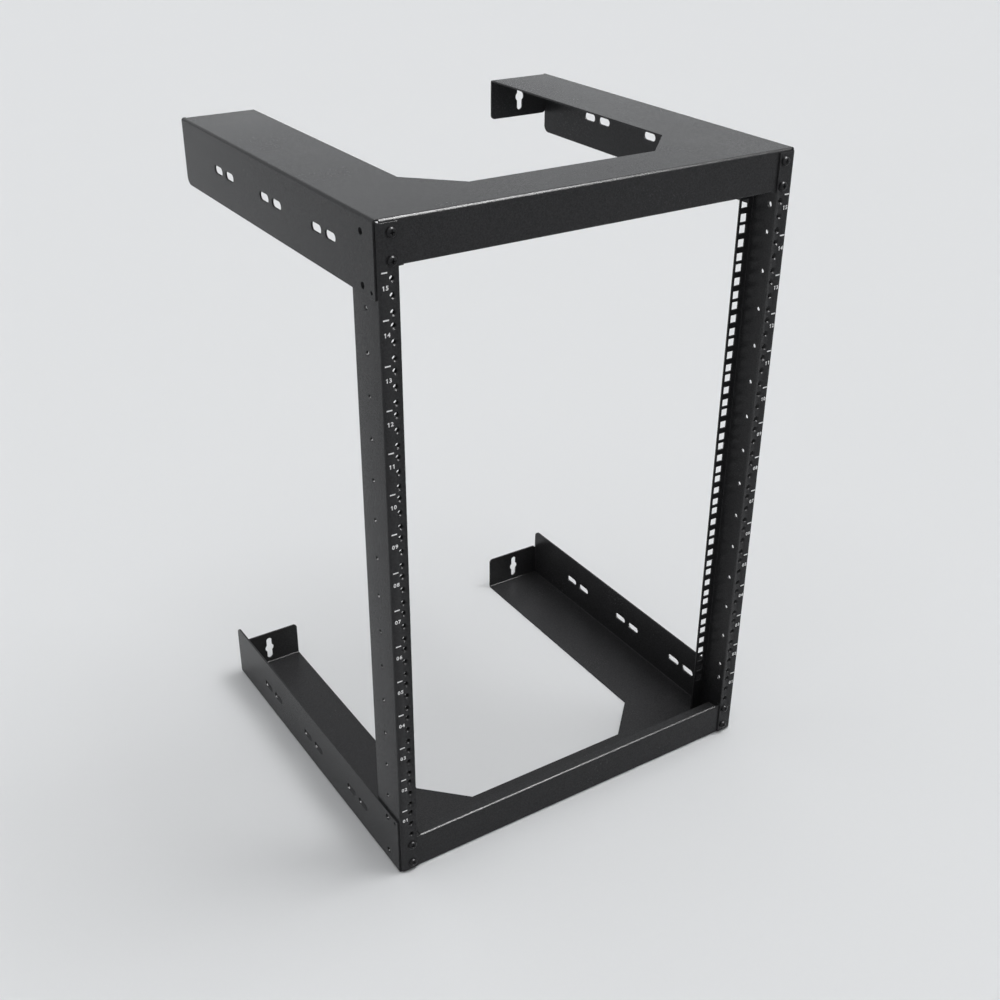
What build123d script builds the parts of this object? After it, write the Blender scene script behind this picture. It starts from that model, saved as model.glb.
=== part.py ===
"""15U open frame wall mount rack: two U-shaped brackets, two punched posts, screws and nuts.

X runs right across the front, Y runs back to the wall, Z runs up from the floor.
The origin is the middle of the floor rectangle that the rack covers.
"""
from build123d import *
import os

os.makedirs("parts", exist_ok=True)

# Rack unit and the standard heights of its three holes
UNIT = 44.45
HOLES_IN_UNIT = (6.35, 22.225, 38.1)

# Overall sizes
HEIGHT = 762.0
DEPTH = 460.0
WIDTH = 496.0

# Folded sheet
SHEET = 2.0
BEND_IN = 1.0
BEND_OUT = BEND_IN + SHEET

# Bracket: a U-shaped plate with sides, a hemmed front lip and two wall tabs
ARM_WIDTH = 86.0
CROSS_DEPTH = 66.0
GUSSET = 50.0
SIDE_HEIGHT = 74.0
LIP_HEIGHT = 44.5
HEM_DEPTH = 13.0
HEM_END_GAP = 6.0
TAB_HEIGHT = 49.0
SIDE_CORNER = 9.0
TAB_CORNER = 5.0
LIP_END_GAP = 0.6
SIDE_FRONT_GAP = 0.5
TAB_END_GAP = 0.5

# Oblong holes in the bracket sides
SLOT_LENGTH = 22.0
SLOT_WIDTH = 9.0
SLOT_FIRST = 90.0
SLOT_PAIR = 30.0
SLOT_PITCH = 120.0
SLOT_PAIRS = 3

# Spare round holes near the front of the bracket sides
SIDE_HOLE = 7.0
SIDE_HOLE_BACK = 28.0
SIDE_HOLE_DOWN = 16.0
SIDE_HOLE_UP = 8.0
PILOT_HOLE = 4.0
PILOT_BACK = 11.0
PILOT_UP = 5.5

# Double-ended keyholes in the wall tabs
KEY_EYE = 12.5
KEY_SLOT = 8.0
KEY_LENGTH = 33.0

# Posts
POST_DEPTH = 55.0
POST_FLANGE = 20.5
HOLE_IN = 13.45
RACK_HOLE = 4.8
SQUARE_HOLE = 9.5
WEB_HOLE = 5.0
WEB_HOLE_OFFSET = 4.5

# Screws and nuts, two at each corner
SCREW = 5.0
SCREW_CLEARANCE = 0.5
SCREW_LENGTH = 12.0
HEAD = 10.0
HEAD_HEIGHT = 3.0
HEAD_CHAMFER = 1.5
CROSS_SPAN = 5.2
CROSS_WIDTH = 1.2
CROSS_SINK = 1.6
NUT_ACROSS = 8.0
NUT_HEIGHT = 4.0
SCREW_DOWN = 12.025
SCREW_UP = 6.475

# Reach of a search for edges at a known place
NEAR = 0.1

# Places that follow from the sizes
FRONT = -(DEPTH - HEAD_HEIGHT) / 2
BACK = FRONT + DEPTH
LIP_FRONT = FRONT + SHEET
SIDE_X = WIDTH / 2
WEB_X = SIDE_X - SHEET
ARM_X = SIDE_X - ARM_WIDTH
HOLE_X = WEB_X - HOLE_IN
LIP_X = WEB_X - BEND_OUT - LIP_END_GAP
HEM_X = WEB_X - POST_FLANGE - HEM_END_GAP
SIDE_Y = LIP_FRONT + BEND_OUT - SIDE_FRONT_GAP
UNITS = int((HEIGHT - 2 * LIP_HEIGHT) / UNIT)
UNIT_BASE = (HEIGHT - UNITS * UNIT) / 2
CLEAR_HOLE = SCREW + SCREW_CLEARANCE
POST_BASE = SHEET + BEND_IN
POST_LENGTH = HEIGHT - 2 * POST_BASE
SCREW_Z = [HEIGHT - LIP_HEIGHT + SCREW_UP, HEIGHT - SCREW_DOWN]
SIDE_HOLE_Z = [HEIGHT - SIDE_HEIGHT + SIDE_HOLE_UP, HEIGHT - SIDE_HOLE_DOWN]
KEY_X = SIDE_X - ARM_WIDTH / 2
KEY_Z = HEIGHT - TAB_HEIGHT / 2
SIDE_MID_Z = HEIGHT - SIDE_HEIGHT / 2
FOLD_RUN = BEND_OUT + SHEET

# Turns a piece end for end about the middle of the rack: left to right and top to bottom
FLIP = Location((0, 0, HEIGHT), (0, 180, 0))


def folded_edge(run, drop, hem=0.0):
    """Section of a folded edge: plate of length run from the outer corner, flange of height drop.

    A hem turns the flange's free edge back under the plate, as deep as it says.
    """
    if hem:
        free_end = [(SHEET, SHEET - drop), (hem, SHEET - drop), (hem, -drop), (0, -drop)]
    else:
        free_end = [(SHEET, -drop), (0, -drop)]
    with BuildSketch(Plane.XY) as section:
        with BuildLine():
            Polyline((0, 0), (run, 0), (run, -SHEET), (SHEET, -SHEET), *free_end, close=True)
        make_face()
        outer = section.vertices().group_by(Axis.X)[0].sort_by(Axis.Y)[-1]
        fillet(outer, BEND_OUT)
        inner = section.vertices().filter_by_position(Axis.X, SHEET - NEAR, SHEET + NEAR).sort_by(Axis.Y)[-1]
        fillet(inner, BEND_IN)
        if hem:
            outer = section.vertices().group_by(Axis.X)[0].sort_by(Axis.Y)[0]
            fillet(outer, BEND_OUT)
            inner = section.vertices().filter_by_position(Axis.X, SHEET - NEAR, SHEET + NEAR).sort_by(Axis.Y)[0]
            fillet(inner, BEND_IN)
    return section.sketch


def rack_hole_heights():
    """Heights of every rack hole, from the lowest unit up."""
    return [
        UNIT_BASE + unit * UNIT + offset
        for unit in range(UNITS)
        for offset in HOLES_IN_UNIT
    ]


# Top bracket
with BuildPart() as top_bracket:
    # Plate with the opening between its arms, short of the folds
    with BuildSketch(Plane.XY.offset(HEIGHT - SHEET)):
        with BuildLine():
            Polyline(
                (-SIDE_X + BEND_OUT, LIP_FRONT + BEND_OUT),
                (SIDE_X - BEND_OUT, LIP_FRONT + BEND_OUT),
                (SIDE_X - BEND_OUT, BACK - BEND_OUT),
                (ARM_X, BACK - BEND_OUT),
                (ARM_X, FRONT + CROSS_DEPTH + GUSSET),
                (ARM_X - GUSSET, FRONT + CROSS_DEPTH),
                (-ARM_X + GUSSET, FRONT + CROSS_DEPTH),
                (-ARM_X, FRONT + CROSS_DEPTH + GUSSET),
                (-ARM_X, BACK - BEND_OUT),
                (-SIDE_X + BEND_OUT, BACK - BEND_OUT),
                close=True,
            )
        make_face()
    extrude(amount=SHEET)

    # Sides folded down, each with a rounded corner at the wall
    for side in (-1, 1):
        plane = Plane(origin=(side * SIDE_X, SIDE_Y, HEIGHT), x_dir=(-side, 0, 0), z_dir=(0, side, 0))
        with BuildSketch(plane):
            add(folded_edge(FOLD_RUN, SIDE_HEIGHT))
        extrude(amount=side * (BACK - SIDE_Y))
    low_corners = (
        top_bracket.edges()
        .filter_by(Axis.X)
        .filter_by_position(Axis.Y, BACK - NEAR, BACK + NEAR)
        .group_by(Axis.Z)[0]
    )
    fillet(low_corners, SIDE_CORNER)

    # Front lip: plain behind the posts, hemmed between them
    for start, end, hem in ((-LIP_X, -HEM_X, 0), (-HEM_X, HEM_X, HEM_DEPTH), (HEM_X, LIP_X, 0)):
        with BuildSketch(Plane(origin=(start, LIP_FRONT, HEIGHT), x_dir=(0, 1, 0), z_dir=(1, 0, 0))):
            add(folded_edge(FOLD_RUN, LIP_HEIGHT, hem))
        extrude(amount=end - start)

    # Wall tabs, each with a rounded free corner
    tab_width = WEB_X - TAB_END_GAP - ARM_X
    for side in (-1, 1):
        start = ARM_X if side > 0 else -ARM_X - tab_width
        with BuildSketch(Plane(origin=(start, BACK, HEIGHT), x_dir=(0, -1, 0), z_dir=(-1, 0, 0))):
            add(folded_edge(FOLD_RUN, TAB_HEIGHT))
        extrude(amount=-tab_width)
    tab_corners = (
        top_bracket.edges()
        .filter_by(Axis.Y)
        .filter_by_position(Axis.Z, HEIGHT - TAB_HEIGHT - NEAR, HEIGHT - TAB_HEIGHT + NEAR)
        .filter_by_position(Axis.Y, BACK - SHEET, BACK)
    )
    fillet(tab_corners, TAB_CORNER)

    # Double-ended keyholes through the tabs
    with BuildSketch(Plane(origin=(0, BACK, 0), x_dir=(1, 0, 0), z_dir=(0, -1, 0))):
        with Locations((-KEY_X, KEY_Z), (KEY_X, KEY_Z)):
            Circle(KEY_EYE / 2)
            SlotOverall(KEY_LENGTH, KEY_SLOT, rotation=90)
    extrude(amount=SHEET, mode=Mode.SUBTRACT)

    # Oblong and round holes through both sides
    with BuildSketch(Plane(origin=(SIDE_X, 0, 0), x_dir=(0, 1, 0), z_dir=(1, 0, 0))):
        for pair in range(SLOT_PAIRS):
            for place in (0, SLOT_PAIR):
                with Locations((FRONT + SLOT_FIRST + pair * SLOT_PITCH + place, SIDE_MID_Z)):
                    SlotOverall(SLOT_LENGTH, SLOT_WIDTH)
        with Locations([(FRONT + SIDE_HOLE_BACK, z) for z in SIDE_HOLE_Z]):
            Circle(SIDE_HOLE / 2)
        with Locations((FRONT + PILOT_BACK, HEIGHT - SIDE_HEIGHT + PILOT_UP)):
            Circle(PILOT_HOLE / 2)
    extrude(amount=-WIDTH, mode=Mode.SUBTRACT)

    # Screw holes through the lip
    with BuildSketch(Plane(origin=(0, LIP_FRONT, 0), x_dir=(1, 0, 0), z_dir=(0, -1, 0))):
        with Locations([(x, z) for x in (-HOLE_X, HOLE_X) for z in SCREW_Z]):
            Circle(CLEAR_HOLE / 2)
    extrude(amount=-SHEET, mode=Mode.SUBTRACT)
top_bracket.part.label = "top_bracket"

# Bottom bracket: the same folded part turned over
with BuildPart() as bottom_bracket:
    add(top_bracket.part.moved(FLIP))
bottom_bracket.part.label = "bottom_bracket"

# Left post: a channel with its web against the bracket sides
with BuildPart() as left_post:
    with BuildSketch(Plane.XY.offset(POST_BASE)):
        with BuildLine():
            Polyline(
                (-WEB_X + POST_FLANGE, FRONT),
                (-WEB_X, FRONT),
                (-WEB_X, FRONT + POST_DEPTH),
                (-WEB_X + POST_FLANGE, FRONT + POST_DEPTH),
                (-WEB_X + POST_FLANGE, FRONT + POST_DEPTH - SHEET),
                (-WEB_X + SHEET, FRONT + POST_DEPTH - SHEET),
                (-WEB_X + SHEET, FRONT + SHEET),
                (-WEB_X + POST_FLANGE, FRONT + SHEET),
                close=True,
            )
        make_face()
    extrude(amount=POST_LENGTH)
    for x, radius in ((-WEB_X, BEND_OUT), (-WEB_X + SHEET, BEND_IN)):
        fillet(left_post.edges().filter_by(Axis.Z).filter_by_position(Axis.X, x - NEAR, x + NEAR), radius)

    # Round rack holes in the front flange
    front_face = Plane(origin=(0, FRONT, 0), x_dir=(1, 0, 0), z_dir=(0, -1, 0))
    with BuildSketch(front_face):
        with Locations([(-HOLE_X, z) for z in rack_hole_heights()]):
            Circle(RACK_HOLE / 2)
    extrude(amount=-SHEET, mode=Mode.SUBTRACT)

    # Square rack holes in the rear flange
    with BuildSketch(Plane(origin=(0, FRONT + POST_DEPTH, 0), x_dir=(1, 0, 0), z_dir=(0, -1, 0))):
        with Locations([(-HOLE_X, z) for z in rack_hole_heights()]):
            Rectangle(SQUARE_HOLE, SQUARE_HOLE)
    extrude(amount=SHEET, mode=Mode.SUBTRACT)

    # Screw holes at both ends of the front flange
    with BuildSketch(front_face):
        with Locations([(-HOLE_X, z) for z in SCREW_Z] + [(-HOLE_X, HEIGHT - z) for z in SCREW_Z]):
            Circle(CLEAR_HOLE / 2)
    extrude(amount=-SHEET, mode=Mode.SUBTRACT)

    # Round holes in the web: one near each unit line, and those that meet the bracket sides
    with BuildSketch(Plane(origin=(-WEB_X, 0, 0), x_dir=(0, 1, 0), z_dir=(1, 0, 0))):
        with Locations(
            [
                (FRONT + SIDE_HOLE_BACK, UNIT_BASE + unit * UNIT + WEB_HOLE_OFFSET)
                for unit in range(1, UNITS)
            ]
        ):
            Circle(WEB_HOLE / 2)
        with Locations(
            [(FRONT + SIDE_HOLE_BACK, z) for z in SIDE_HOLE_Z]
            + [(FRONT + SIDE_HOLE_BACK, HEIGHT - z) for z in SIDE_HOLE_Z]
        ):
            Circle(SIDE_HOLE / 2)
    extrude(amount=SHEET, mode=Mode.SUBTRACT)
left_post.part.label = "left_post"

# Right post: the same part turned end for end
with BuildPart() as right_post:
    add(left_post.part.moved(FLIP))
right_post.part.label = "right_post"

# Pan head screw with a cross recess, its seat at the origin and its head towards the front
with BuildPart() as screw:
    with BuildSketch(Plane.XZ):
        Circle(HEAD / 2)
    extrude(amount=HEAD_HEIGHT)
    chamfer(screw.edges().group_by(Axis.Y)[0], HEAD_CHAMFER)
    with BuildSketch(Plane.XZ):
        Circle(SCREW / 2)
    extrude(amount=-SCREW_LENGTH)
    with BuildSketch(Plane(origin=(0, -HEAD_HEIGHT, 0), x_dir=(1, 0, 0), z_dir=(0, -1, 0))):
        Rectangle(CROSS_SPAN, CROSS_WIDTH)
        Rectangle(CROSS_WIDTH, CROSS_SPAN)
    extrude(amount=-CROSS_SINK, mode=Mode.SUBTRACT)

# Hexagon nut with its seat at the origin
with BuildPart() as nut:
    with BuildSketch(Plane.XZ):
        RegularPolygon(NUT_ACROSS / 2, 6, major_radius=False)
        Circle(SCREW / 2, mode=Mode.SUBTRACT)
    extrude(amount=-NUT_HEIGHT)

# Four corners with two screws each, through the post and the lip, into nuts behind the lip
for side, x in (("left", -HOLE_X), ("right", HOLE_X)):
    for name, z in (
        ("top_{}_upper", SCREW_Z[1]),
        ("top_{}_lower", SCREW_Z[0]),
        ("bottom_{}_upper", HEIGHT - SCREW_Z[0]),
        ("bottom_{}_lower", HEIGHT - SCREW_Z[1]),
    ):
        place = name.format(side)
        fitted_screw = screw.part.moved(Location((x, FRONT, z)))
        fitted_screw.label = place + "_screw"
        export_step(fitted_screw, "parts/" + fitted_screw.label + ".step")
        fitted_nut = nut.part.moved(Location((x, LIP_FRONT + SHEET, z)))
        fitted_nut.label = place + "_nut"
        export_step(fitted_nut, "parts/" + fitted_nut.label + ".step")

for piece in (top_bracket, bottom_bracket, left_post, right_post):
    export_step(piece.part, "parts/" + piece.part.label + ".step")
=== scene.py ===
"""Looks of a 15U wall mount rack: coat, unit marks, screws, nuts, floor, light and camera."""

import math
import bpy
import bmesh
from mathutils import Matrix, Vector


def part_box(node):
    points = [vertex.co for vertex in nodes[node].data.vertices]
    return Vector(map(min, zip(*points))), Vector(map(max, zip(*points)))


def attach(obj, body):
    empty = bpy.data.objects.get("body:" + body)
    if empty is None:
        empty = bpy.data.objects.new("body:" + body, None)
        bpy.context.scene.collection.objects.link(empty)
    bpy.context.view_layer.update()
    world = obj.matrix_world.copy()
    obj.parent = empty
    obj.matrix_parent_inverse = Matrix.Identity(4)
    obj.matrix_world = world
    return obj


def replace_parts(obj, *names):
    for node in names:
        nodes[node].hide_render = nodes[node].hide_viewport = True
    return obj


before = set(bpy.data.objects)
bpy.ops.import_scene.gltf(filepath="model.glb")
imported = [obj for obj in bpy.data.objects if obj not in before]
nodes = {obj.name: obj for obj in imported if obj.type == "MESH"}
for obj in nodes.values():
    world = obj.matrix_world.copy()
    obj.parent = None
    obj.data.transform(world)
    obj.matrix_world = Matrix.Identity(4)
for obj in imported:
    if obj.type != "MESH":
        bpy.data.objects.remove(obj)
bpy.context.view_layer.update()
scene = bpy.context.scene

# Rack: like all lengths here, in metres
UNIT = 0.04445  # height of one rack unit
UNITS = 15
UNIT_BASE = 0.047625  # lower line of the first unit
HOLES_IN_UNIT = (0.00635, 0.022225, 0.0381)  # heights of the three rack holes in a unit
HOLE_X = 0.23255  # from the middle to a column of rack holes
FRONT = -0.2285  # front face of the posts
SHEET = 0.002  # thickness of the posts and of the lips behind them
SHARP = math.radians(35)  # edges that bend more than this stay sharp

# Rack hole: a sink in front of its bore and a short collar behind it
HOLE_STEPS = 48
HOLE_RADIUS = 0.0024
SINK_RADIUS = 0.0039
HOLE_PROFILE = (
    # Radius and depth, from the rim of the sink to the bore
    (SINK_RADIUS, 0.0),
    (SINK_RADIUS - 0.00012, 0.00007),
    (0.0027, 0.0009),
    (HOLE_RADIUS, 0.0012),
    # Through the bore, round the collar's end and back to the sheet
    (HOLE_RADIUS, 0.0056),
    (0.0026, 0.0058),
    (0.0030, 0.0058),
    (0.0032, 0.0056),
    (0.0033, 0.0024),
    (0.0035, 0.0021),
    (SINK_RADIUS, SHEET),
)
ROD_EXCESS = 0.001  # how far a cutting rod stands out of the sheet on each side
CAD_WELD = 0.0000005  # corners of the CAD mesh that lie closer are one
RIM_WELD = 0.000002  # and so are those of a rim and its sink
RIM_SLACK = 0.00002  # how far a wall's corner may lie from the rim's circle
FLAT = 0.9998  # a face whose normal has a larger part along an axis is flat
SLIVER = 1e-12  # a face with a smaller area is shaded flat too
ACROSS = 0.1  # a face whose normal has a smaller part along the holes runs along them

# Screw: a pan head with a cross recess, and a metric thread
ROUND_STEPS = 96  # round a screw and round a nut
HEAD_RADIUS = 0.005
HEAD_HEIGHT = 0.003
HEAD_EDGE = 0.0009  # height of the dome's edge over the seat
CROWN_RADIUS = 0.0029  # where the dome begins
DOME_STEPS = 8
RECESS = (
    # Depth, reach and half width of an arm, from the floor to the mouth
    (0.0021, 0.0009, 0.00035),
    (0.0008, 0.0021, 0.0005),
    (0.0, 0.0025, 0.0006),
)
NECK_RADIUS = 0.00205
SHANK_LENGTH = 0.012
SHANK_STEPS = 75
THREAD_RADIUS = 0.00248
THREAD_DEPTH = 0.00045
PITCH = 0.0008
TIP_START = 0.0112  # beyond this the thread is blunt
TIP_RADIUS = 0.0021

# Nut
NUT_HEIGHT = 0.004
NUT_HALF_FLAT = 0.004  # from its middle to a flat
NUT_FACE_RADIUS = 0.0038
NUT_MOUTH_RADIUS = 0.0029
NUT_BORE_RADIUS = 0.00249
NUT_MOUTH_DEPTH = 0.0004
CHAMFER_RADIUS = 0.00396  # where the chamfer of the corners begins
CHAMFER_SLOPE = 0.55

# Printed unit marks
PRINT = 0.00005  # thickness of the ink of a dash
DASH_X = 0.2403  # from the middle to a dash
DASH_WIDTH = 0.006
DASH_HEIGHT = 0.0014
DASH_DROP = 0.0002  # from the upper line of a unit down to its dash
NUMBER_X = 0.2398  # from the middle to a number
NUMBER_DROP = 0.0166  # from the upper line of a unit down to the foot of its number
FIGURE_HEIGHT = 0.0043
FIGURE_STEP = 0.0037  # between the two figures of a number
FIGURE_HALF_THICKNESS = 0.00002
FIGURE_WEIGHT = 0.00016  # added all round the strokes of the font
FONT_HEIGHT = 0.72  # height of a figure over the size of the font
ONE = (
    # Outline of a plain figure one over its height: an upright stroke with a short flag
    (-0.05, -0.03),
    (0.16, -0.03),
    (0.16, 1.03),
    (0.0, 1.03),
    (-0.24, 0.84),
    (-0.24, 0.66),
    (-0.05, 0.77),
)

# Surroundings
FLOOR_SIZE = 20
WORLD_LIT = 0.28  # strength of the world's light
WORLD_SEEN = (0.737, 0.753, 0.768, 1)  # its colour where it is seen or mirrored

# Camera at the photograph's angle
AZIMUTH = math.radians(-32.92)
ELEVATION = math.radians(28.89)
ROLL = math.radians(0.41)
POSITION = (-0.7492, -1.2044, 1.0920)
SENSOR_WIDTH = 36  # in millimetres, as the lens
LENS = 46.78


def feed(tree, node, inputs):
    """Sets inputs of a node to a value, or links them from another socket."""
    for key, value in inputs.items():
        if isinstance(value, bpy.types.NodeSocket):
            tree.links.new(value, node.inputs[key])
        else:
            node.inputs[key].default_value = value


def add(tree, kind, inputs=None, **settings):
    """A new node with its settings and inputs."""
    node = tree.nodes.new(kind)
    for key, value in settings.items():
        setattr(node, key, value)
    feed(tree, node, inputs or {})
    return node


def new_material(name):
    """A new material, its node tree and the Principled shader in it."""
    material = bpy.data.materials.new(name)
    material.use_nodes = True
    tree = material.node_tree
    return material, tree, tree.nodes["Principled BSDF"]


def place(tree):
    """The place on the object, in metres."""
    return add(tree, "ShaderNodeTexCoord").outputs["Object"]


def maths(tree, operation, *values):
    """The result of one maths step on sockets or numbers."""
    return add(tree, "ShaderNodeMath", dict(enumerate(values)), operation=operation).outputs[0]


def ranged(tree, value, old, new):
    """A value mapped from an old range to a new one, and held inside the new one."""
    inputs = {"Value": value, "From Min": old[0], "From Max": old[1], "To Min": new[0], "To Max": new[1]}
    return add(tree, "ShaderNodeMapRange", inputs, clamp=True).outputs["Result"]


def noise(tree, scale, detail, rough):
    """Noise over the object, in features per metre."""
    inputs = {"Vector": place(tree), "Scale": scale, "Detail": detail, "Roughness": rough}
    return add(tree, "ShaderNodeTexNoise", inputs).outputs["Fac"]


def blend(tree, factor, first, second):
    """A colour between two colours, each a socket or three numbers."""
    node = add(tree, "ShaderNodeMix", {"Factor": factor}, data_type="RGBA")
    for key, colour in ((6, first), (7, second)):
        feed(tree, node, {key: colour if isinstance(colour, bpy.types.NodeSocket) else (*colour, 1)})
    return node.outputs[2]


def bump(tree, height, strength, distance, others=None):
    """The normal of a surface that a height roughens."""
    inputs = {"Height": height, "Strength": strength, "Distance": distance, **(others or {})}
    return add(tree, "ShaderNodeBump", inputs).outputs["Normal"]


def coat(name):
    """Black powder coat: a fine pebbled skin, with tiny glints painted into its colour as lighter
    specks.
    """
    material, tree, shader = new_material(name)
    dark = (0.022, 0.022, 0.0232)
    light = (0.035, 0.035, 0.0366)
    # Painted highlight: the colour of the tiny glints, painted into the coat as lighter specks
    painted_glint = (0.04, 0.04, 0.042)
    pebble = noise(tree, scale=620, detail=3, rough=0.55)
    cloud = noise(tree, scale=9, detail=2, rough=0.5)
    mottle = noise(tree, scale=460, detail=2, rough=0.6)
    cells = {"Vector": place(tree), "Scale": 1100, "Randomness": 1}
    grit_and_glint_cells = add(tree, "ShaderNodeTexVoronoi", cells).outputs["Distance"]
    height = maths(tree, "ADD", maths(tree, "MULTIPLY", pebble, 0.7), maths(tree, "MULTIPLY", grit_and_glint_cells, 0.6))
    colour = blend(tree, ranged(tree, pebble, (0.35, 0.7), (0, 1)), dark, light)
    # Painted glints: lighter specks put into the colour at the cells of the grit, which also roughens
    # the bump
    colour = blend(tree, ranged(tree, grit_and_glint_cells, (0.55, 0.8), (0, 0.5)), colour, painted_glint)
    fine_rough = ranged(tree, pebble, (0.3, 0.7), (0.19, 0.26))
    broad_rough = ranged(tree, cloud, (0.3, 0.7), (-0.02, 0.03))
    rounded = add(tree, "ShaderNodeBevel", {"Radius": 0.0005}, samples=4).outputs["Normal"]
    feed(tree, shader, {
        "Base Color": colour,
        "Roughness": maths(tree, "ADD", fine_rough, broad_rough),
        "Normal": bump(tree, height, strength=0.5, distance=0.0003, others={"Normal": rounded}),
        "Specular IOR Level": ranged(tree, mottle, (0.35, 0.65), (0.11, 0.17)),
    })
    return material


def zinc(name):
    """Black zinc plating: dark metal with a faint grain."""
    material, tree, shader = new_material(name)
    dark = (0.010, 0.010, 0.011)
    light = (0.020, 0.020, 0.021)
    grain = noise(tree, scale=2600, detail=3, rough=0.6)
    cloud = noise(tree, scale=260, detail=2, rough=0.5)
    feed(tree, shader, {
        "Base Color": blend(tree, ranged(tree, cloud, (0.3, 0.7), (0, 1)), dark, light),
        "Roughness": ranged(tree, grain, (0.3, 0.7), (0.28, 0.40)),
        "Normal": bump(tree, grain, strength=0.15, distance=0.00004),
        "Metallic": 0.3,
        "Specular IOR Level": 0.2,
    })
    return material


def ink(name):
    """White screen print, a little uneven over the coat."""
    material, tree, shader = new_material(name)
    thin = (0.76, 0.76, 0.77)
    full = (0.94, 0.94, 0.94)
    speck = noise(tree, scale=2400, detail=3, rough=0.6)
    feed(tree, shader, {
        "Base Color": blend(tree, ranged(tree, speck, (0.35, 0.65), (0, 1)), thin, full),
        "Roughness": ranged(tree, speck, (0.3, 0.7), (0.5, 0.7)),
        "Normal": bump(tree, speck, strength=0.2, distance=0.00005),
    })
    return material


def paper(name):
    """Pale studio floor with a faint paper tooth."""
    material, tree, shader = new_material(name)
    low = (0.752, 0.765, 0.779)
    high = (0.762, 0.775, 0.789)
    tooth = noise(tree, scale=220, detail=3, rough=0.6)
    feed(tree, shader, {
        "Base Color": blend(tree, tooth, low, high),
        "Roughness": 0.9,
        "Normal": bump(tree, tooth, strength=0.05, distance=0.0002),
        "Specular IOR Level": 0,
    })
    return material


def dress(name, material):
    """Gives a node of the frame one material."""
    slots = nodes[name].data.materials
    slots.clear()
    slots.append(material)


def made_mesh(form, name):
    """A form as a mesh; the form is freed."""
    mesh = bpy.data.meshes.new(name)
    form.to_mesh(mesh)
    form.free()
    return mesh


def smooth_mesh(form, name):
    """A form as a mesh that is shaded smooth between its sharp edges."""
    mesh = made_mesh(form, name)
    mesh.shade_smooth()
    mesh.set_sharp_from_angle(angle=SHARP)
    return mesh


def final_mesh(item):
    """The mesh that a new object shows in the scene; the object is removed."""
    scene.collection.objects.link(item)
    mesh = bpy.data.meshes.new_from_object(item.evaluated_get(bpy.context.evaluated_depsgraph_get()))
    bpy.data.objects.remove(item)
    return mesh


def piece(name, mesh, material):
    """A new piece of the rack with one material, riding on the rack's body."""
    mesh.materials.clear()
    mesh.materials.append(material)
    item = bpy.data.objects.new(name, mesh)
    scene.collection.objects.link(item)
    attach(item, "root")
    return item


def ring(form, centre, points):
    """A loop of vertices round a centre, from (across, up) pairs."""
    x, y, z = centre
    return [form.verts.new((x + across, y, z + up)) for across, up in points]


def bridge(form, loops):
    """Faces between each loop and the next one, all of the same length."""
    for first, second in zip(loops, loops[1:]):
        for i in range(len(first)):
            j = (i + 1) % len(first)
            form.faces.new((first[i], first[j], second[j], second[i]))


def circle(radius, count):
    """Points round a circle, as (across, up) pairs."""
    turns = [2 * math.pi * i / count for i in range(count)]
    return [(radius * math.cos(turn), radius * math.sin(turn)) for turn in turns]


def cross(reach, half_width):
    """Points round a cross recess at even angles, as (across, up) pairs."""
    points = []
    for i in range(ROUND_STEPS):
        turn = 2 * math.pi * i / ROUND_STEPS
        along = max(abs(math.cos(turn)), abs(math.sin(turn)))
        off = min(abs(math.cos(turn)), abs(math.sin(turn)))
        radius = reach / along
        if off * radius > half_width:
            radius = half_width / off
        points.append((radius * math.cos(turn), radius * math.sin(turn)))
    return points


def rod_mesh(x, heights):
    """Rods as thick as the sinks, through the front flange at each rack hole."""
    rods = bmesh.new()
    for z in heights:
        near = ring(rods, (x, FRONT - ROD_EXCESS, z), circle(SINK_RADIUS, HOLE_STEPS))
        far = ring(rods, (x, FRONT + SHEET + ROD_EXCESS, z), circle(SINK_RADIUS, HOLE_STEPS))
        bridge(rods, [near, far])
        rods.faces.new(near)
        rods.faces.new(far)
    bmesh.ops.recalc_face_normals(rods, faces=rods.faces)
    return made_mesh(rods, "rods")


def opened_mesh(name, x, heights):
    """The mesh of a post, with its front flange opened to the rim of each sink."""
    form = bmesh.new()
    form.from_mesh(nodes[name].data)
    bmesh.ops.remove_doubles(form, verts=form.verts, dist=CAD_WELD)
    body = made_mesh(form, "body")
    # The normals stored for the CAD mesh would shade the new faces wrongly
    stored = body.attributes.get("custom_normal")
    if stored:
        body.attributes.remove(stored)
    cutter = bpy.data.objects.new("rods", rod_mesh(x, heights))
    scene.collection.objects.link(cutter)
    item = bpy.data.objects.new("body", body)
    step = item.modifiers.new("rims", "BOOLEAN")
    step.operation = "DIFFERENCE"
    step.solver = "EXACT"
    step.object = cutter
    opened = final_mesh(item)
    bpy.data.objects.remove(cutter)
    return opened


def is_rim_wall(face, x, heights):
    """Whether a face is part of the wall of an opening that a rod has left."""
    if abs(face.normal.y) >= ACROSS or not FRONT < face.calc_center_median().y < FRONT + SHEET:
        return False
    corner = face.verts[0].co
    nearest = min(heights, key=lambda z: abs(z - corner.z))
    return abs(math.hypot(corner.x - x, corner.z - nearest) - SINK_RADIUS) < RIM_SLACK


def formed_post(name, x):
    """The post again, with a sink in front of each rack hole and a short collar behind it."""
    heights = [UNIT_BASE + unit * UNIT + offset for unit in range(UNITS) for offset in HOLES_IN_UNIT]
    form = bmesh.new()
    form.from_mesh(opened_mesh(name, x, heights))
    walls = [face for face in form.faces if is_rim_wall(face, x, heights)]
    bmesh.ops.delete(form, geom=walls, context="FACES_ONLY")
    for z in heights:
        bridge(form, [
            ring(form, (x, FRONT + depth, z), circle(radius, HOLE_STEPS))
            for radius, depth in HOLE_PROFILE
        ])
    bmesh.ops.remove_doubles(form, verts=form.verts, dist=RIM_WELD)
    bmesh.ops.recalc_face_normals(form, faces=form.faces)
    for face in form.faces:
        face.smooth = max(abs(part) for part in face.normal) < FLAT and face.calc_area() > SLIVER
    joined = made_mesh(form, "joined")
    joined.set_sharp_from_angle(angle=SHARP)
    return joined


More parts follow.
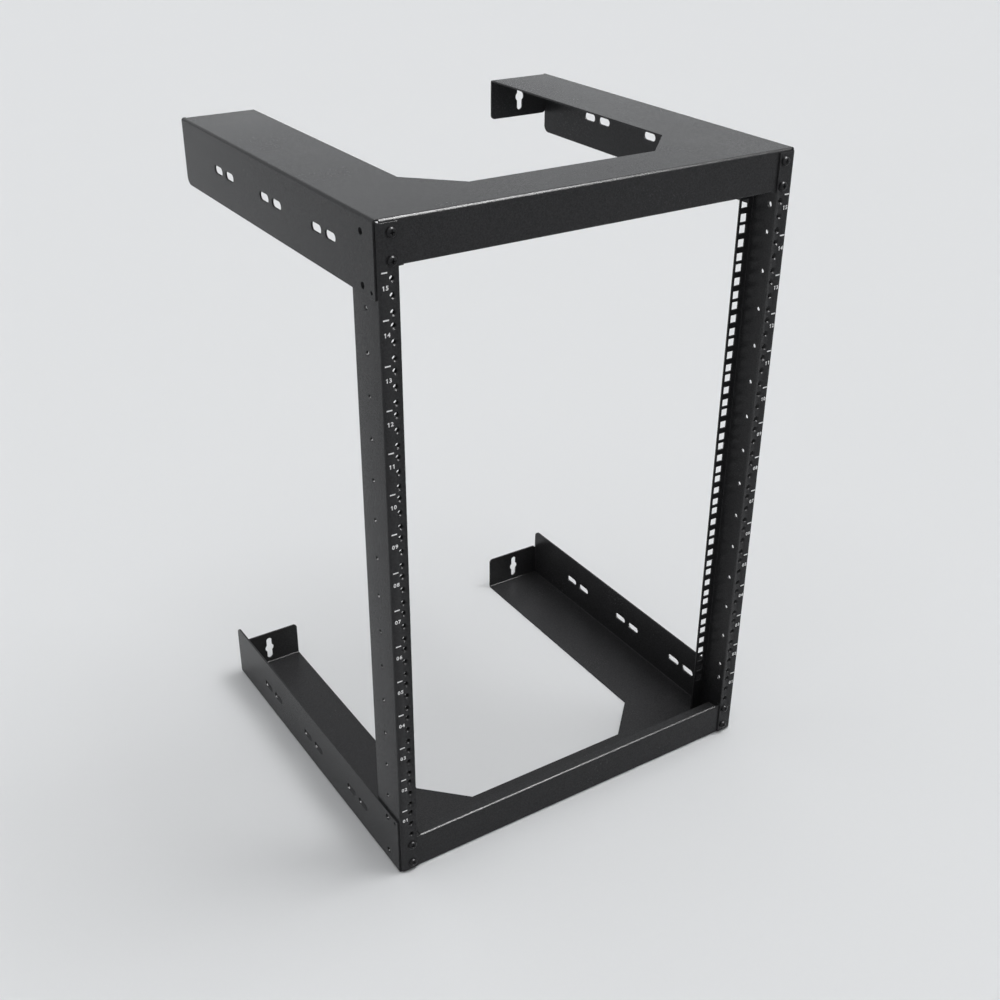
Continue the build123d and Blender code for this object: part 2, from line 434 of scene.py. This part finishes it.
def screw_form(x, z):
    """Pan head screw with a cross recess in its dome and a threaded shank, pointing back."""
    form = bmesh.new()
    # Recess, from its floor to its mouth
    loops = [
        ring(form, (x, FRONT - HEAD_HEIGHT + depth, z), cross(reach, half_width))
        for depth, reach, half_width in RECESS
    ]
    # Dome, from the crown to the edge, and down to the seat
    for i in range(1, DOME_STEPS + 1):
        turn = math.pi / 2 * i / DOME_STEPS
        radius = CROWN_RADIUS + (HEAD_RADIUS - CROWN_RADIUS) * math.sin(turn)
        rise = HEAD_EDGE + (HEAD_HEIGHT - HEAD_EDGE) * math.cos(turn)
        loops.append(ring(form, (x, FRONT - rise, z), circle(radius, ROUND_STEPS)))
    loops.append(ring(form, (x, FRONT, z), circle(HEAD_RADIUS, ROUND_STEPS)))
    # Shank with its thread
    loops.append(ring(form, (x, FRONT, z), circle(NECK_RADIUS, ROUND_STEPS)))
    for k in range(1, SHANK_STEPS + 1):
        depth = SHANK_LENGTH * k / SHANK_STEPS
        points = []
        for i in range(ROUND_STEPS):
            turn = 2 * math.pi * i / ROUND_STEPS
            phase = (depth / PITCH - i / ROUND_STEPS) % 1
            radius = THREAD_RADIUS - THREAD_DEPTH * abs(2 * phase - 1)
            if depth > TIP_START:
                radius = min(radius, TIP_RADIUS)
            points.append((radius * math.cos(turn), radius * math.sin(turn)))
        loops.append(ring(form, (x, FRONT + depth, z), points))
    bridge(form, loops)
    form.faces.new(loops[0])
    form.faces.new(loops[-1])
    bmesh.ops.recalc_face_normals(form, faces=form.faces)
    return form


def nut_form(x, z):
    """Hexagon nut with its corners chamfered at both ends and a sink at the bore."""
    form = bmesh.new()
    start = FRONT + 2 * SHEET
    side = math.pi / 3
    turns = [2 * math.pi * i / ROUND_STEPS for i in range(ROUND_STEPS)]
    reaches = [NUT_HALF_FLAT / math.cos((turn + side / 2) % side - side / 2) for turn in turns]
    drops = [max(0.0, reach - CHAMFER_RADIUS) * CHAMFER_SLOPE for reach in reaches]

    def loop(radii, depths):
        """A loop of vertices with a radius and a depth at each turn."""
        return [
            form.verts.new((x + radius * math.sin(turn), start + depth, z + radius * math.cos(turn)))
            for turn, radius, depth in zip(turns, radii, depths)
        ]

    def round_loop(radius, depth):
        """A loop of vertices with the same radius and depth all round."""
        return loop([radius] * ROUND_STEPS, [depth] * ROUND_STEPS)

    loops = [
        round_loop(NUT_BORE_RADIUS, NUT_MOUTH_DEPTH),
        round_loop(NUT_MOUTH_RADIUS, 0.0),
        round_loop(NUT_FACE_RADIUS, 0.0),
        loop(reaches, drops),
        loop(reaches, [NUT_HEIGHT - drop for drop in drops]),
        round_loop(NUT_FACE_RADIUS, NUT_HEIGHT),
        round_loop(NUT_MOUTH_RADIUS, NUT_HEIGHT),
        round_loop(NUT_BORE_RADIUS, NUT_HEIGHT - NUT_MOUTH_DEPTH),
    ]
    bridge(form, loops + loops[:1])
    bmesh.ops.recalc_face_normals(form, faces=form.faces)
    return form


def one_mesh():
    """The thin solid figure one."""
    form = bmesh.new()
    back, front = (
        [form.verts.new((x * FIGURE_HEIGHT, y, z * FIGURE_HEIGHT)) for x, z in ONE]
        for y in (FIGURE_HALF_THICKNESS, -FIGURE_HALF_THICKNESS)
    )
    bridge(form, [back, front])
    form.faces.new(back)
    form.faces.new(front)
    bmesh.ops.recalc_face_normals(form, faces=form.faces)
    return made_mesh(form, "figure")


def figure_mesh(digit):
    """One thin solid figure that faces the front, with the origin at the middle of its foot."""
    if digit == "1":
        return one_mesh()
    curve = bpy.data.curves.new("figure", "FONT")
    curve.body = digit
    curve.size = FIGURE_HEIGHT / FONT_HEIGHT
    curve.extrude = FIGURE_HALF_THICKNESS
    curve.offset = FIGURE_WEIGHT
    curve.resolution_u = 4
    mesh = final_mesh(bpy.data.objects.new("figure", curve))
    spots = [vertex.co for vertex in mesh.vertices]
    middle = (min(spot.x for spot in spots) + max(spot.x for spot in spots)) / 2
    foot = min(spot.y for spot in spots)
    mesh.transform(Matrix.Translation((-middle, -foot, 0)))
    mesh.transform(Matrix.Rotation(math.radians(90), 4, "X"))
    return mesh


def add_dash(form, x, z):
    """Adds the dash of a unit to a form."""
    size = (DASH_WIDTH, PRINT, DASH_HEIGHT, 1)
    middle = (x, FRONT - PRINT / 2, z)
    bmesh.ops.create_cube(form, size=1, matrix=Matrix.Translation(middle) @ Matrix.Diagonal(size))


def sun(name, direction, angle, strength):
    """A distant soft light that comes from a direction, as wide as an angle in degrees."""
    light = bpy.data.lights.new(name, "SUN")
    light.angle = math.radians(angle)
    light.energy = strength
    lamp = bpy.data.objects.new(name, light)
    lamp.rotation_euler = (-Vector(direction)).to_track_quat("-Z", "Y").to_euler()
    scene.collection.objects.link(lamp)


def strip(name, direction, along, distance, width, length, power):
    """A long lamp that faces the rack from a direction and lights only what mirrors it."""
    aim = Vector(direction).normalized()
    along = Vector(along)
    along = (along - along.dot(aim) * aim).normalized()
    light = bpy.data.lights.new(name, "AREA")
    light.shape = "RECTANGLE"
    light.size = width
    light.size_y = length
    light.energy = power
    lamp = bpy.data.objects.new(name, light)
    turned = Matrix((along.cross(aim), along, aim)).transposed().to_4x4()
    lamp.matrix_world = Matrix.Translation(distance * aim) @ turned
    lamp.visible_diffuse = False
    scene.collection.objects.link(lamp)


# Finish of the four folded sheets, with the rack holes of the posts formed
sheet_coat = coat("bracket_coat")
for name in ("top_bracket", "bottom_bracket", "left_post", "right_post"):
    dress(name, sheet_coat)
for name, x in (("left_post", -HOLE_X), ("right_post", HOLE_X)):
    post = piece(name + "_detail", formed_post(name, x), sheet_coat)
    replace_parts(post, name)

# Screws and nuts with their recess, thread and chamfers
plating = zinc("black_zinc_plating")
for name in list(nodes):
    if name.endswith("_screw") or name.endswith("_nut"):
        dress(name, plating)
        low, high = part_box(name)
        x, z = (low[0] + high[0]) / 2, (low[2] + high[2]) / 2
        form = screw_form(x, z) if name.endswith("_screw") else nut_form(x, z)
        mesh = smooth_mesh(form, name + "_detail")
        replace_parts(piece(name + "_detail", mesh, plating), name)

# Printed unit marks: a dash at the upper line of each unit and its number below it
white = ink("white_ink")
lines = [UNIT_BASE + unit * UNIT for unit in range(1, UNITS + 1)]
for side, sign in (("left", -1), ("right", 1)):
    dashes = bmesh.new()
    for line in lines:
        add_dash(dashes, sign * DASH_X, line - DASH_DROP)
    dash_mesh = smooth_mesh(dashes, side + "_unit_dashes")
    piece(side + "_unit_dashes", dash_mesh, white)
    numbers = bmesh.new()
    for unit, line in enumerate(lines, 1):
        for digit, shift in zip(f"{unit:02d}", (-FIGURE_STEP / 2, FIGURE_STEP / 2)):
            figure = figure_mesh(digit)
            middle = (sign * NUMBER_X + shift, FRONT - PRINT / 2, line - NUMBER_DROP)
            figure.transform(Matrix.Translation(middle))
            numbers.from_mesh(figure)
            bpy.data.meshes.remove(figure)
    number_mesh = smooth_mesh(numbers, side + "_unit_numbers")
    piece(side + "_unit_numbers", number_mesh, white)

# Floor
form = bmesh.new()
bmesh.ops.create_grid(form, x_segments=8, y_segments=8, size=FLOOR_SIZE)
floor = bpy.data.objects.new("floor", made_mesh(form, "floor"))
scene.collection.objects.link(floor)
floor.data.materials.append(paper("floor_paper"))

# World: plain pale light, seen and mirrored as the same pale grey as the floor
world = bpy.data.worlds.new("studio")
scene.world = world
world.use_nodes = True
tree = world.node_tree
tree.nodes.clear()
lit = add(tree, "ShaderNodeBackground", {"Color": (1, 1, 1, 1), "Strength": WORLD_LIT})
seen = add(tree, "ShaderNodeBackground", {"Color": WORLD_SEEN, "Strength": 1})
path = add(tree, "ShaderNodeLightPath").outputs
mirrored = maths(tree, "ADD", path["Is Glossy Ray"], path["Is Transmission Ray"])
shown = maths(tree, "MINIMUM", maths(tree, "ADD", path["Is Camera Ray"], mirrored), 1)
mix = add(tree, "ShaderNodeMixShader", {"Fac": shown, 1: lit.outputs[0], 2: seen.outputs[0]})
add(tree, "ShaderNodeOutputWorld", {"Surface": mix.outputs[0]})

# Lights: two soft ones, and a strip for the bright line that the front bends mirror
sun("overhead", direction=(0.0, -0.05, 1.0), angle=75, strength=1.31)
sun("key", direction=(0.42, -0.12, 0.85), angle=30, strength=1.0)
strip(
    "strip",
    direction=(0.37, -0.35, 0.86),
    along=(0, -0.92, -0.38),
    distance=5,
    width=1.1,
    length=5.2,
    power=1250,
)

# Camera
back = Vector((
    math.sin(AZIMUTH) * math.cos(ELEVATION),
    -math.cos(AZIMUTH) * math.cos(ELEVATION),
    math.sin(ELEVATION),
))
right = Vector((0, 0, 1)).cross(back).normalized()
up = back.cross(right)
turned = Matrix((right, up, back)).transposed() @ Matrix.Rotation(ROLL, 3, "Z")
camera = bpy.data.objects.new("camera", bpy.data.cameras.new("camera"))
camera.matrix_world = Matrix.Translation(POSITION) @ turned.to_4x4()
camera.data.sensor_width = SENSOR_WIDTH
camera.data.lens = LENS
scene.collection.objects.link(camera)
scene.camera = camera
scene.view_settings.view_transform = "Standard"
